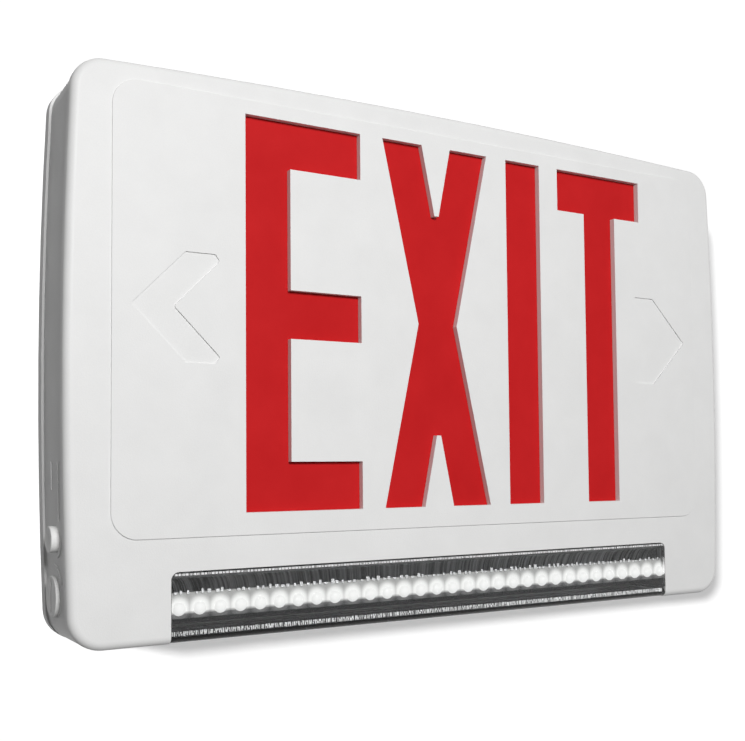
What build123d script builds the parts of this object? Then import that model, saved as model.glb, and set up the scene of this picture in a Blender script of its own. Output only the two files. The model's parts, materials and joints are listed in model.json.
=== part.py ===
from build123d import *
import math
import os

# Emergency exit light: a lettered sign with a lamp bar along its lower edge.
# X runs across, Z up, and the wall is the plane Y = 0 with the face towards -Y.
# Depths are counted backwards from the face of the raised panel.
# Cuts run a little past the faces that they open.

# Body
side_bow = 2.8
top_bow = 3.2
corner_radius = 12.5
front_edge_radius = 3.0

# Front cover
face_wall = 2.7
rim_wall = 2.4
cover_depth = 5.8
panel_step = 0.6
panel_edge = 0.3
panel_side_margin = 16.6
panel_top_margin = 9.2
panel_bottom_margin = 38.2
panel_corner = 10.0
fit_gap = 0.1
bite = 0.5

# Lettering
letter_height = 152.4
letter_width = 50.8
stroke = 19.05
cross_width = 53.3
cross_waist = 19.4
cross_notch = 29.7
cross_flat = 2.1
letter_gap = 10.6
legend_shift = 7.875
letter_top_margin = 5.6
letter_bottom_margin = 8.5

# Chevrons
chevron_space = 36.725
chevron_margin = 7.0
chevron_half_height = 20.6
chevron_reach = 16.2
chevron_arm = 11.8
chevron_end = 2.6
chevron_depth = 0.6
chevron_corner = 0.96

# Light window
window_side_margin = 39.0
window_height = 26.0
window_corner = 3.0
window_back_margin = 8.2

# Housing frame
frame_ledge = 0.5
frame_wall = 2.2
frame_draft = 1.75
lip_height = 1.8
lip_wall = 1.3
lip_root = 3.2
mark_height = 0.35
mark_reach = 8.0
knockout_score = 0.6

# Back plate
plate_ledge = 0.9
plate_depth = 5.3
plate_floor = 2.4
plate_wall = 2.4
plate_edge = 0.5
plate_tab_width = 14.0
plate_tab_x = 90.0
plate_tab_z = 50.0
plate_tab_gap = 0.2
plate_tab_length = 2.5
wire_hole_radius = 11.1
box_slot_spacing = 86.1
box_slot_radius = 2.5
box_slot_length = 10.6
keyhole_spacing = 110.0
keyhole_height = 62.0
keyhole_head_radius = 4.6
keyhole_slot_radius = 2.3
keyhole_rise = 8.0

# Snap tabs of the cover
tab_wall = 1.3
tab_width = 16.0
tab_reach = 14.0
tab_space = 1.5
tab_end = 13.0
top_tab_margin = 68.2
bottom_tab_margin = 20.2
side_tab_top_margin = 61.95
side_tab_bottom_margin = 81.95
barb_height = 0.9
barb_depth = 10.5
barb_width = 2.2
snap_clearance = 0.3

# Legend light chamber
legend_sheet = 1.5
legend_margin = 5.7
chevron_cover = 3.0
chamber_corner = 6.0
pan_back = 16.0
pan_wall = 1.4
legend_board_width = 8.0
legend_board_margin = 17.6
legend_board_gap = 1.0
board_thickness = 1.2
legend_lamp_pitch = 20.0
legend_lamp_width = 3.5
legend_lamp_depth = 2.8
legend_lamp_height = 1.9

# Light bar
lens_wall = 2.3
lens_recess = 0.15
lens_clearance = 0.2
lens_flange = 4.5
lens_flange_wall = 1.2
lens_lip = 1.5
lens_flange_gap = 0.2
lamp_pitch = 8.12
lamp_row_shift = 1.9
lamp_radius = 2.5
lamp_height = 2.0
lamp_crown = 0.9
lamp_lower = 0.95
lamp_clearance = 0.25
strip_board_width = 9.4
strip_board_margin = 5.7
heat_strip_thickness = 3.0
heat_strip_width = 8.4
strip_screw_length = 8.0
strip_screw_radius = 1.05
trough_top_gap = 1.5
trough_wall = 1.2
trough_overlap = 6.5
trough_axis_depth = 5.0
ear_margin = 20.7
ear_width = 12.0
ear_rise = 9.0
ear_depth = 12.0
ear_wall = 1.8
ear_root = 3.5
ear_hole_rise = 0.6

# Test button and switch
button_depth = 15.4
button_rise = 38.8
button_radius = 4.7
button_proud = 3.2
button_travel = 1.5
button_dish = 0.6
button_edge = 0.5
button_flange = 0.7
button_flange_wall = 1.5
bore_clearance = 0.08
boss_length = 2.6
boss_wall = 2.0
pad_proud = 0.3
plunger_radius = 1.7
plunger_length = 5.0
switch_size = 12.0
switch_length = 7.0
switch_gap = 0.5
cradle_wall = 1.5
cradle_hook = 0.5

# Cover lock
lock_depth = 20.3
lock_rise = 18.1
lock_pad_margin = 0.4
lock_head_radius = 7.3
lock_head_height = 1.4
lock_edge = 0.4
lock_screw_length = 8.0
lock_screw_head_radius = 4.0
tongue_eye_wall = 2.0
lock_shank_radius = 4.5
lock_boss_length = 5.3
lock_slot_width = 1.6
lock_slot_length = 12.2
lock_slot_depth = 0.9
tongue_length = 11.0
tongue_half_width = 4.0
tongue_thickness = 2.4
spigot_radius = 3.0
catch_gap = 0.3
catch_wall = 1.8
catch_height = 6.5
catch_over = 1.0
arc_radius = 11.1
arc_width = 1.0
arc_foot_radius = 0.8
arc_start = 92.0
arc_sweep = 58.0

# Guide ribs beside the button
guide_width = 1.1
front_guide_depth = 11.9
back_guide_depth = 22.0
guide_rise = 27.45
front_guide_length = 21.0
back_guide_length = 10.0

# Screws
screw_head_radius = 3.2
screw_head_height = 2.0
screw_crown = 0.7
screw_radius = 1.5
screw_fit = 0.02
clearance_radius = 1.8
post_radius = 4.0
screw_hole_gap = 0.3
lug_wall = 3.0
lug_width = 22.0
lug_height = 21.0
lug_inset_x = 14.0
lug_inset_z = 13.0

# Inner parts and their fixing places
parts_clearance = 2.5
pan_post_margin = 93.2
pan_post_inset = 10.9
pan_screw_length = 8.0
ear_screw_length = 10.0
battery_cell_radius = 8.5
battery_cell_length = 50.0
battery_cells = 4
battery_overlap = 0.1
battery_margin = 50.2
battery_rise = 73.95
battery_web = 6.0
battery_seat = 0.2
battery_rib_place = 17.0
battery_rib_length = 10.0
battery_rib_height = 5.0
battery_rib_wall = 1.5
strap_gap = 0.3
strap_wall = 1.2
strap_width = 12.0
strap_foot = 10.0
foot_rise = 3.0
transformer_margin = 52.2
transformer_drop = 52.95
transformer_rise = 0.5
core_width = 42.0
core_height = 35.0
core_stack = 10.0
core_leg = 14.0
coil_width = 27.6
coil_height = 20.6
coil_build = 3.0
coil_gap = 0.1
coil_corner = 2.0
bracket_wall = 1.0
bracket_height = 26.0
bracket_foot = 9.0
bracket_opening_gap = 0.4
circuit_margin = 54.2
circuit_z = 4.0
circuit_width = 62.0
circuit_height = 108.0
circuit_thickness = 1.6
circuit_standoff = 4.0
circuit_hole_inset = 5.0
relay_width = 19.0
relay_height = 15.0
relay_depth = 12.0
relay_from_side = 18.0
relay_from_top = 24.0
capacitor_radius = 5.0
capacitor_depth = 12.0
capacitor_pitch = 14.0
capacitor_count = 3
capacitor_from_side = 17.0
capacitor_from_top = 20.0
part_edge = 0.6
header_width = 7.0
header_height = 10.0
header_depth = 8.0
header_wall = 0.9
header_floor = 1.5
header_pitch = 13.0
header_count = 3
header_from_side = 7.0
header_from_bottom = 20.0
sink_width = 26.0
sink_height = 20.0
sink_base = 2.5
sink_depth = 12.0
sink_from_side = 21.0
sink_from_bottom = 24.0
fin_count = 5
fin_wall = 1.6
fin_inset = 1.0
terminal_width = 44.0
terminal_height = 12.0
terminal_depth = 14.0
terminal_drop = 36.95
terminal_poles = 3
terminal_screw_radius = 2.5
terminal_screw_height = 2.5
terminal_well_depth = 6.0
mouth_width = 6.0
mouth_depth = 4.0
mouth_reach = 6.0

# Places worked out from the sizes above
battery_depth = 2 * battery_cell_radius + 2 * battery_seat + strap_wall
depth = pan_back + parts_clearance + battery_depth + plate_floor
frame_back = depth - plate_depth
window_back = frame_back - window_back_margin
legend_width = 2 * letter_width + cross_width + stroke + 3 * letter_gap
legend_left = legend_shift - legend_width / 2
chevron_tip = legend_width / 2 + chevron_space
panel_half_width = chevron_tip + chevron_margin
half_width = panel_half_width + panel_side_margin
panel_height = letter_height + letter_top_margin + letter_bottom_margin
panel_centre = (panel_bottom_margin - panel_top_margin) / 2
legend_centre = panel_centre + (letter_bottom_margin - letter_top_margin) / 2
body_height = panel_height + panel_top_margin + panel_bottom_margin
top_edge = body_height / 2
bottom_edge = -body_height / 2
panel_half_length = chevron_tip + chevron_cover
legend_half_height = letter_height / 2 + legend_margin
sheet_back = face_wall + fit_gap + legend_sheet
floor_face = depth - plate_floor
draft_per_mm = math.tan(math.radians(frame_draft))
window_half_width = half_width - window_side_margin
window_top = bottom_edge + window_height
flange_low = bottom_edge + rim_wall + fit_gap
lamp_line = (window_top + flange_low) / 2 - lamp_lower
trough_axis_height = flange_low
trough_radius = window_top - trough_top_gap - trough_axis_height
trough_half_length = window_half_width + trough_overlap
ear_position = trough_half_length - ear_margin
button_height = bottom_edge + button_rise
lock_height = bottom_edge + lock_rise
guide_top = button_height + guide_rise
pan_post_x = half_width - pan_post_margin
pan_post_rise = legend_half_height - pan_post_inset
battery_x = battery_margin - half_width
battery_z = bottom_edge + battery_rise
transformer_x = transformer_margin - half_width
transformer_z = top_edge - transformer_drop
circuit_x = half_width - circuit_margin
circuit_left = circuit_x - circuit_width / 2
circuit_right = circuit_x + circuit_width / 2
circuit_top = circuit_z + circuit_height / 2
circuit_bottom = circuit_z - circuit_height / 2
terminal_z = top_edge - terminal_drop


# Helpers

def plane_at(depth_back):
    """Drawing plane of the front view at a depth, with X across and Z up."""
    return Plane(origin=(0, depth_back - depth, 0), x_dir=(1, 0, 0), z_dir=(0, -1, 0))


def slab(shape, back, front):
    """A front-view outline given thickness from one depth forward to another."""
    return extrude(plane_at(back) * shape, amount=back - front)


def box_between(x, deep, z):
    """A block from ranges of X, of depth and of Z."""
    block = Box(x[1] - x[0], deep[1] - deep[0], z[1] - z[0])
    middle = ((x[0] + x[1]) / 2, (deep[0] + deep[1]) / 2 - depth, (z[0] + z[1]) / 2)
    return Pos(*middle) * block


def side_rod(radius, x_from, x_to, deep, z):
    """A cylinder along X between two X values."""
    plane = Plane(origin=(x_from, deep - depth, z), x_dir=(0, 1, 0), z_dir=(1, 0, 0))
    return extrude(plane * Circle(radius), amount=x_to - x_from)


def front_rod(radius, x, z, back, front):
    """A cylinder along Y between two depths."""
    return slab(Pos(x, z) * Circle(radius), back, front)


def body_outline(side_inset, top_inset, bottom_inset):
    """The front view's bowed outline, drawn inwards by an inset on each edge."""
    side = half_width - side_inset
    top = top_edge - top_inset
    bottom = bottom_edge + bottom_inset
    shoulder = top - top_bow
    foot = side - side_bow
    left = ThreePointArc((-foot, bottom), (-side, (bottom + shoulder) / 2), (-foot, shoulder))
    over = ThreePointArc((-foot, shoulder), (0, top), (foot, shoulder))
    right = ThreePointArc((foot, shoulder), (side, (bottom + shoulder) / 2), (foot, bottom))
    under = Line((foot, bottom), (-foot, bottom))
    face = make_face([left, over, right, under])
    radius = max(corner_radius - side_inset, 1.0)
    return fillet(face.vertices(), radius)


def even_outline(inset):
    return body_outline(inset, inset, inset)


def drafted(back, front, inset):
    """A solid whose sides and top close in towards the back, with a level bottom."""
    deep = frame_ledge + inset + (back - cover_depth) * draft_per_mm
    near = frame_ledge + inset + (front - cover_depth) * draft_per_mm
    rear_face = plane_at(back) * body_outline(deep, deep, inset)
    front_face = plane_at(front) * body_outline(near, near, inset)
    return loft([rear_face, front_face], ruled=True)


def side_face(deep, z):
    """X distance of the frame's outer side face at a depth and a height."""
    rise = (body_height - top_bow) / 2
    sweep_radius = (rise ** 2 + side_bow ** 2) / (2 * side_bow)
    offset = z + top_bow / 2
    bow = sweep_radius - math.sqrt(sweep_radius ** 2 - offset ** 2)
    return half_width - frame_ledge - (deep - cover_depth) * draft_per_mm - bow


def screw(x, z, seat, tip):
    """A pan-head screw driven from the front: its head rests on the seat depth."""
    head = front_rod(screw_head_radius, x, z, seat, seat - screw_head_height)
    crown = head.faces().sort_by(Axis.Y)[0].edges()
    head = chamfer(crown, screw_crown)
    return head + front_rod(screw_radius, x, z, tip, seat)


def screw_group(places, seat, tip):
    return Compound(children=[screw(x, z, seat, tip) for x, z in places])


def mirrored_pairs(x, z):
    return [(sx * x, sz * z) for sx in (-1, 1) for sz in (-1, 1)]


# Front cover

def letter_e(left):
    half = letter_height / 2
    stem = Pos(left + stroke / 2, 0) * Rectangle(stroke, letter_height)
    arm_places = (half - stroke / 2, 0, -half + stroke / 2)
    arms = [Pos(left + letter_width / 2, z) * Rectangle(letter_width, stroke) for z in arm_places]
    return stem + arms


def letter_x(left):
    """Two crossed strokes with a flat at the bottom of each notch."""
    middle = left + cross_width / 2
    half = letter_height / 2
    outer = cross_width / 2
    inner = (cross_width - 2 * cross_waist) / 2
    waist = cross_waist / 2
    flat = cross_flat / 2
    notch = half - cross_notch
    right_side = [
        (flat, notch), (inner, half), (outer, half), (waist, 0),
        (outer, -half), (inner, -half), (flat, -notch),
    ]
    left_side = [(-x, z) for x, z in reversed(right_side)]
    outline = Polyline(*right_side, *left_side, close=True)
    return Pos(middle, 0) * make_face(outline)


def letter_i(left):
    return Pos(left + stroke / 2, 0) * Rectangle(stroke, letter_height)


def letter_t(left):
    middle = left + letter_width / 2
    stem = Pos(middle, 0) * Rectangle(stroke, letter_height)
    return stem + Pos(middle, (letter_height - stroke) / 2) * Rectangle(letter_width, stroke)


def legend_cutouts():
    """The four letter-shaped openings, set out from the left."""
    letters = [
        (letter_e, letter_width), (letter_x, cross_width),
        (letter_i, stroke), (letter_t, letter_width),
    ]
    left = legend_left
    cuts = []
    for draw, width in letters:
        outline = Pos(0, legend_centre) * draw(left)
        cuts.append(slab(outline, cover_depth, -1.0))
        left += width + letter_gap
    return cuts


def chevron(side):
    """One direction chevron, pointing outwards on the given side."""
    shoulder = chevron_tip - chevron_half_height
    arm = shoulder - chevron_arm
    vertex = chevron_tip - chevron_reach
    upper = [
        (shoulder, chevron_half_height), (arm, chevron_half_height),
        (vertex - chevron_half_height + chevron_end, chevron_half_height - chevron_end),
    ]
    lower = [(x, -z) for x, z in reversed(upper)]
    outline = Polyline((chevron_tip, 0), *upper, (vertex, 0), *lower, close=True)
    face = make_face(outline)
    face = fillet(face.vertices(), chevron_corner)
    turned = face if side > 0 else mirror(face, Plane.YZ)
    return slab(Pos(0, legend_centre) * turned, chevron_depth, -1.0)


def window_outline(grow, cut_below):
    """The light window: rounded upper corners, open at the body's lower edge."""
    half = window_half_width + grow
    top = window_top + grow
    face = Pos(0, (top + cut_below) / 2) * Rectangle(2 * half, top - cut_below)
    corners = face.vertices().sort_by(Axis.Y)[-2:]
    return fillet(corners, window_corner)


def snap_boxes(grow, back):
    """Blocks that pick out the places of the snap tabs round the edge."""
    half = tab_width / 2 + grow
    deep = (face_wall, back)
    top_x = half_width - top_tab_margin
    bottom_x = half_width - bottom_tab_margin
    blocks = []
    for x in (-top_x, 0, top_x):
        blocks.append(box_between((x - half, x + half), deep, (top_edge - tab_reach, top_edge)))
    for x in (-bottom_x, bottom_x):
        blocks.append(box_between((x - half, x + half), deep, (bottom_edge, bottom_edge + tab_reach)))
    for z in (top_edge - side_tab_top_margin, bottom_edge + side_tab_bottom_margin):
        for side in ((-half_width, tab_reach - half_width), (half_width - tab_reach, half_width)):
            blocks.append(box_between(side, deep, (z - half, z + half)))
    return blocks


def ring(outer_inset, inner_inset, back, front):
    return slab(even_outline(outer_inset) - even_outline(inner_inset), back, front)


def snap_tabs():
    """Tabs behind the cover's rim, each with a barb that drops into the frame."""
    wall_inset = frame_ledge + frame_wall + (barb_depth - cover_depth) * draft_per_mm
    outer = wall_inset + snap_clearance
    tab = ring(outer, outer + tab_wall, tab_end, face_wall)
    barb_back = barb_depth + barb_width / 2
    barb_front = barb_depth - barb_width / 2
    barb = ring(outer - barb_height, outer + tab_wall / 2, barb_back, barb_front)
    band = tab + barb
    return [band & block for block in snap_boxes(0, tab_end)]


def snap_pockets():
    """Pockets in the frame's wall that take the barbs."""
    wall_inset = frame_ledge + frame_wall + (barb_depth - cover_depth) * draft_per_mm
    back = barb_depth + barb_width / 2 + snap_clearance
    front = barb_depth - barb_width / 2 - snap_clearance
    groove = ring(wall_inset - barb_height, wall_inset + tab_wall, back, front)
    return [groove & block for block in snap_boxes(snap_clearance, back)]


def lock_catch():
    """Arm and lip inside the cover that the lock's tongue stands in front of."""
    tongue_x = tongue_face()
    lip_front = lock_depth + tongue_half_width + catch_gap
    lip_back = lip_front + catch_wall
    arm_x = tongue_x + tongue_thickness + 2 * catch_wall
    high = lock_height + tongue_length + catch_over
    low = high - catch_height
    arm = box_between((arm_x, arm_x + catch_wall), (face_wall - bite, lip_back), (low, high))
    lip = box_between((tongue_x + catch_gap, arm_x + catch_wall), (lip_front, lip_back), (low, high))
    return arm + lip


def front_cover():
    shell = slab(body_outline(0, 0, 0), cover_depth, panel_step)
    face = shell.faces().sort_by(Axis.Y)[0]
    shell = fillet(face.edges(), front_edge_radius)
    panel = RectangleRounded(2 * panel_half_width, panel_height, panel_corner)
    raised = slab(Pos(0, panel_centre) * panel, face_wall, 0)
    raised_edge = raised.faces().sort_by(Axis.Y)[0].edges()
    shell += fillet(raised_edge, panel_edge)
    shell -= slab(even_outline(rim_wall), cover_depth, face_wall)
    shell -= legend_cutouts()
    shell -= [chevron(-1), chevron(1)]
    shell -= slab(window_outline(0, bottom_edge - 5), cover_depth + 1, -1)
    shell += snap_tabs()
    shell += lock_catch()
    return shell


# Housing frame

def tongue_face():
    """X of the lock tongue's outer face."""
    return -side_face(lock_depth, lock_height) + frame_wall + lock_boss_length + fit_gap


def side_boss(deep, z, radius, length):
    """A flat pad outside the left wall and a bored boss inside it."""
    face = side_face(deep, z)
    pad = side_rod(radius, -face - pad_proud, -face + frame_wall, deep, z)
    boss = side_rod(radius, -face + frame_wall / 2, -face + frame_wall + length, deep, z)
    return pad + boss


def surface_marks():
    """Two guide ribs and an arc, raised evenly from the left side face."""
    skin = drafted(frame_back - 1, cover_depth + 1, -mark_height)
    skin -= drafted(frame_back - 1, cover_depth + 1, frame_wall / 2)
    reach = (-half_width - 1, mark_reach - half_width)
    front_rib = box_between(
        reach, (front_guide_depth - guide_width / 2, front_guide_depth + guide_width / 2),
        (guide_top - front_guide_length, guide_top))
    back_rib = box_between(
        reach, (back_guide_depth - guide_width / 2, back_guide_depth + guide_width / 2),
        (guide_top - back_guide_length, guide_top))
    plane = Plane(origin=(reach[0], lock_depth - depth, lock_height), x_dir=(0, 1, 0), z_dir=(1, 0, 0))
    band = make_face([
        CenterArc((0, 0), arc_radius + arc_width / 2, arc_start, arc_sweep),
        Line(polar(arc_radius + arc_width / 2, arc_start + arc_sweep),
             polar(arc_radius - arc_width / 2, arc_start + arc_sweep)),
        CenterArc((0, 0), arc_radius - arc_width / 2, arc_start, arc_sweep),
        Line(polar(arc_radius - arc_width / 2, arc_start), polar(arc_radius + arc_width / 2, arc_start)),
    ])
    foot = Pos(*polar(arc_radius, arc_start + arc_sweep)) * Circle(arc_foot_radius)
    arc = extrude(plane * (band + foot), amount=reach[1] - reach[0])
    return [skin & front_rib, skin & back_rib, skin & arc]


def polar(radius, angle):
    turn = math.radians(angle)
    return (radius * math.cos(turn), radius * math.sin(turn))


def switch_cradle():
    """Two ribs with hooks that hold the test switch above and below."""
    face = side_face(button_depth, button_height)
    front_x = switch_face()
    end_x = front_x + switch_length
    half = switch_size / 2 + fit_gap
    deep = (button_depth - switch_size / 2, button_depth + switch_size / 2)
    ribs = []
    for sign in (-1, 1):
        near = button_height + sign * half
        far = near + sign * cradle_wall
        hook = near - sign * cradle_hook
        z_rib = (min(near, far), max(near, far))
        z_hook = (min(hook, far), max(hook, far))
        ribs.append(box_between((-face + frame_wall / 2, end_x + fit_gap + cradle_wall), deep, z_rib))
        ribs.append(box_between((end_x + fit_gap, end_x + fit_gap + cradle_wall), deep, z_hook))
        ribs.append(box_between((front_x - cradle_wall, front_x), deep, z_hook))
    return ribs


def corner_lugs():
    """Plates across the rear corners, with a hole for each frame screw."""
    solid = drafted(frame_back, frame_back - lug_wall, frame_wall / 2)
    lugs = []
    for sx in (-1, 1):
        for sz in (-1, 1):
            inner_x = half_width - lug_width
            inner_z = top_edge - lug_height
            x = (inner_x, half_width) if sx > 0 else (-half_width, -inner_x)
            z = (inner_z, top_edge) if sz > 0 else (-top_edge, -inner_z)
            lugs.append(solid & box_between(x, (frame_back - lug_wall, frame_back), z))
    return lugs


def frame_screw_places():
    return mirrored_pairs(half_width - lug_inset_x, top_edge - lug_inset_z)


def knockout_groove(radius, plane):
    """A scored ring round a knock-out."""
    return extrude(plane * (Circle(radius) - Circle(radius - knockout_score)), amount=frame_wall * 2)


def housing_frame():
    frame = drafted(frame_back, cover_depth, 0)
    frame -= drafted(frame_back, cover_depth, frame_wall)
    lip_outer = rim_wall + fit_gap
    frame += ring(lip_outer, lip_outer + lip_wall, cover_depth + lip_root, cover_depth - lip_height)
    frame -= snap_boxes(tab_space, cover_depth)
    lip_cut = even_outline(frame_ledge + frame_wall + snap_clearance + fit_gap)
    clear_path = slab(lip_cut, cover_depth + lip_root + 1, 0)
    frame -= [clear_path & block for block in snap_boxes(tab_space, cover_depth + lip_root + 1)]
    frame -= snap_pockets()
    frame += corner_lugs()
    for x, z in frame_screw_places():
        frame -= front_rod(clearance_radius, x, z, frame_back + 1, frame_back - lug_wall - 1)

    # Light window in the lower wall
    window_x = (-window_half_width, window_half_width)
    low = (bottom_edge - 1, bottom_edge + rim_wall + lip_wall + 1)
    frame -= box_between(window_x, (0, window_back), low)
    flange_x = (-window_half_width - lens_flange - 1, window_half_width + lens_flange + 1)
    above_wall = (bottom_edge + frame_wall, low[1])
    frame -= box_between(flange_x, (0, cover_depth + lip_root + 1), above_wall)
    frame -= box_between(flange_x, (0, cover_depth), low)

    # Test button and lock on the left wall
    frame += side_boss(button_depth, button_height, button_radius + boss_wall, boss_length)
    frame += side_boss(lock_depth, lock_height, lock_shank_radius + boss_wall, lock_boss_length)
    frame += side_pad(lock_depth, lock_height, lock_head_radius + lock_pad_margin)
    frame += switch_cradle()
    frame += surface_marks()
    far = half_width + 5
    frame -= side_rod(button_radius + bore_clearance, -far, switch_face() - 1.0, button_depth, button_height)
    frame -= side_rod(lock_shank_radius + bore_clearance, -far, tongue_face(), lock_depth, lock_height)

    # Scored knock-outs for a ceiling or end mounting
    mid_depth = (cover_depth + frame_back) / 2
    top_z = top_edge - frame_ledge - (mid_depth - cover_depth) * draft_per_mm - knockout_score
    top_plane = Plane(origin=(0, mid_depth - depth, top_z), z_dir=(0, 0, 1))
    frame -= knockout_groove(wire_hole_radius, top_plane)
    end_x = side_face(mid_depth, legend_centre) - knockout_score
    end_plane = Plane(origin=(end_x, mid_depth - depth, legend_centre), z_dir=(1, 0, 0))
    frame -= knockout_groove(wire_hole_radius, end_plane)
    return frame


def side_pad(deep, z, radius):
    face = side_face(deep, z)
    return side_rod(radius, -face - pad_proud, -face + frame_wall / 2, deep, z)


# Back plate

def pan_post_places():
    return mirrored_pairs(pan_post_x, pan_post_rise)


def post(x, z, top_depth):
    """A post on the plate's floor with a pilot hole for a screw."""
    pillar = front_rod(post_radius, x, z, floor_face + bite, top_depth)
    return pillar - front_rod(screw_radius + screw_fit, x, z, floor_face, top_depth - 1)


def slot_pair(along_x):
    """Two slots for the screws of a wall box."""
    cuts = []
    for sign in (-1, 1):
        middle = sign * box_slot_spacing / 2
        slot = SlotOverall(box_slot_length, 2 * box_slot_radius, rotation=0 if along_x else 90)
        place = Pos(middle, 0) if along_x else Pos(0, middle)
        cuts.append(slab(place * slot, depth + 1, floor_face - 1))
    return cuts


def keyhole(x):
    """A round entry with a narrow slot rising from it."""
    head = Circle(keyhole_head_radius)
    rise = Pos(0, keyhole_rise / 2) * Rectangle(2 * keyhole_slot_radius, keyhole_rise)
    end = Pos(0, keyhole_rise) * Circle(keyhole_slot_radius)
    return slab(Pos(x, keyhole_height) * (head + rise + end), depth + 1, floor_face - 1)


def battery_pitch():
    return 2 * battery_cell_radius - battery_overlap


def battery_span():
    """X extent of the cells side by side."""
    return (battery_cells - 1) * battery_pitch() + 2 * battery_cell_radius


def locating_tabs(rear_inset):
    """Short tabs on the plate that stand just inside the frame's wall."""
    outer = rear_inset + frame_wall + plate_tab_gap
    band = ring(outer, outer + plate_wall / 2, floor_face + bite, frame_back - plate_tab_length)
    places = [(x, sz * top_edge) for x in (-plate_tab_x, 0, plate_tab_x) for sz in (-1, 1)]
    places += [(sx * half_width, z) for sx in (-1, 1) for z in (-plate_tab_z, plate_tab_z)]
    half = plate_tab_width / 2
    blocks = [box_between((x - half, x + half), (0, depth), (z - half, z + half)) for x, z in places]
    return [band & block for block in blocks]


def back_plate():
    rear_inset = frame_ledge + (frame_back - cover_depth) * draft_per_mm
    edge = rear_inset - plate_ledge
    plate = slab(body_outline(edge, edge, 0), depth, frame_back)
    outer_rim = plate.faces().sort_by(Axis.Y)[-1].edges()
    plate = chamfer(outer_rim, plate_edge)
    plate -= slab(body_outline(edge + plate_wall, edge + plate_wall, plate_wall), floor_face, frame_back - 1)
    plate += locating_tabs(rear_inset)
    plate -= front_rod(wire_hole_radius, 0, 0, depth + 1, floor_face - 1)
    plate -= slot_pair(True)
    plate -= slot_pair(False)
    plate -= [keyhole(-keyhole_spacing / 2), keyhole(keyhole_spacing / 2)]
    for x, z in frame_screw_places():
        plate += post(x, z, frame_back)
    for x, z in pan_post_places():
        plate += post(x, z + legend_centre, pan_back)
    for x in (-ear_position, ear_position):
        plate += post(x, ear_hole_height(), ear_depth + ear_wall)
    for x, z in circuit_hole_places():
        plate += post(x, z, floor_face - circuit_standoff)
    for x, z in strap_foot_places() + bracket_foot_places():
        plate += post(x, z, foot_seat())
    plate += battery_ribs()
    return plate


def battery_ribs():
    """Short ribs on the floor at the two ends of the cells."""
    deep = (floor_face - battery_rib_height, floor_face + bite)
    near = battery_cell_length / 2 + strap_gap
    ribs = []
    for sign in (-1, 1):
        ends = (battery_z + sign * near, battery_z + sign * (near + battery_rib_wall))
        for middle in (battery_x - battery_rib_place, battery_x + battery_rib_place):
            x = (middle - battery_rib_length / 2, middle + battery_rib_length / 2)
            ribs.append(box_between(x, deep, (min(ends), max(ends))))
    return ribs


# Legend light chamber

def chamber_outline(inset):
    width = 2 * (panel_half_length - inset)
    height = 2 * (legend_half_height - inset)
    return Pos(0, legend_centre) * RectangleRounded(width, height, max(chamber_corner - inset, 1.0))


def legend_panel():
    return slab(chamber_outline(0), sheet_back, face_wall + fit_gap)


def legend_reflector():
    """White pan behind the legend that mixes the light of the two lamp rows."""
    rim = sheet_back + fit_gap
    pan = slab(chamber_outline(0), pan_back, rim)
    pan -= slab(chamber_outline(pan_wall), pan_back - pan_wall, rim - 1)
    for x, z in pan_post_places():
        pan -= front_rod(clearance_radius, x, z + legend_centre, pan_back + 1, pan_back - pan_wall - 1)
    return pan


def legend_board(sign):
    """A lamp strip along the pan's upper or lower wall."""
    outer = legend_centre + sign * (legend_half_height - pan_wall)
    inner = outer - sign * board_thickness
    start = sheet_back + legend_board_gap
    z = (min(outer, inner), max(outer, inner))
    half = legend_board_half_length()
    return box_between((-half, half), (start, start + legend_board_width), z)


def legend_board_half_length():
    return panel_half_length - legend_board_margin


def legend_leds():
    """A row of lamps along each board, as many as its length takes."""
    half = legend_lamp_width / 2
    middle = sheet_back + legend_board_gap + legend_board_width / 2
    deep = (middle - legend_lamp_depth / 2, middle + legend_lamp_depth / 2)
    count = int(2 * legend_board_half_length() / legend_lamp_pitch)
    lamps = []
    for sign in (-1, 1):
        base = legend_centre + sign * (legend_half_height - pan_wall - board_thickness)
        tip = base - sign * legend_lamp_height
        z = (min(base, tip), max(base, tip))
        for index in range(count):
            x = (index - (count - 1) / 2) * legend_lamp_pitch
            lamps.append(box_between((x - half, x + half), deep, z))
    return Compound(children=lamps)


# Light bar

def light_lens():
    """Clear lens: a front wall and a lower wall with one rounded edge between them."""
    front = panel_step + lens_recess
    back = window_back - lens_clearance
    top = window_top - lens_clearance
    low = bottom_edge + lens_clearance
    outline = Polyline(
        (front - depth, top), (front - depth, low), (back - depth, low), (back - depth, low + lens_wall),
        (front + lens_wall - depth, low + lens_wall), (front + lens_wall - depth, top), close=True)
    profile = make_face(outline)
    outer_corner = profile.vertices().sort_by_distance((front - depth, low, 0))[0]
    profile = fillet(outer_corner, front_edge_radius)
    half = window_half_width - lens_clearance
    plane = Plane(origin=(-half, 0, 0), x_dir=(0, 1, 0), z_dir=(1, 0, 0))
    lens = extrude(plane * profile, amount=2 * half)

    # Flanges that the cover and the frame hold from inside
    flange_front = face_wall + lens_flange_gap
    outer = window_half_width + lens_flange
    lens += box_between((-outer, outer), (flange_front, flange_front + lens_flange_wall),
                        (top - lens_lip, top + lens_flange))
    rim_z = (flange_low, flange_low + lens_flange_wall)
    rim = box_between((-outer, outer), (flange_front, window_back + 2 * lens_lip), rim_z)
    inner = half - lens_lip
    rim -= box_between((-inner, inner), (front + lens_wall, back - lens_lip), (rim_z[0] - 1, rim_z[1] + 1))
    lens += rim
    top_round = window_outline(-lens_clearance, bottom_edge - 5)
    behind = (flange_front, back + 10)
    keep = slab(top_round, behind[1], -1)
    keep += box_between((-outer, outer), behind, (bottom_edge, top + lens_flange + 1))
    return lens & keep


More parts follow.
